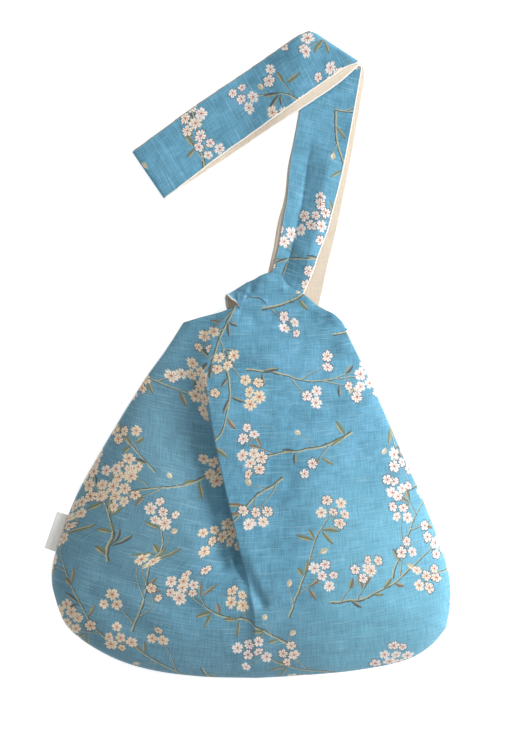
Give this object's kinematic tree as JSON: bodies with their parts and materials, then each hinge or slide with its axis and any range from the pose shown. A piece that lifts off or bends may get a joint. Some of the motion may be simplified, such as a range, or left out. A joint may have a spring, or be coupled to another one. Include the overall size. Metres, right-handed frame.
{
  "type": "knot bag",
  "caption": "Soft lined cotton knot bag lying on its back, its long handle drawn through the short one and folded over.",
  "frame": {"origin": "on the floor under the middle of the bag's box, with the long handle folded as stored", "axes": "+X across the bag, +Y from its bottom seam to its handles, +Z out of its front"},
  "size_m": [0.3048, 0.4852, 0.0338],
  "materials": {
    "printed_cotton": "slub cotton in mottled blue, printed with small pale blossom sprays",
    "cream_lining": "plain cream cotton",
    "woven_tape": "blank off-white woven tape"
  },
  "bodies": {
    "root": {"front_panel": "printed_cotton", "back_panel": "printed_cotton", "short_handle": "printed_cotton", "short_handle_lining": "cream_lining", "long_handle": "printed_cotton", "long_handle_lining": "cream_lining", "side_label": "woven_tape"}
  },
  "joints": []
}
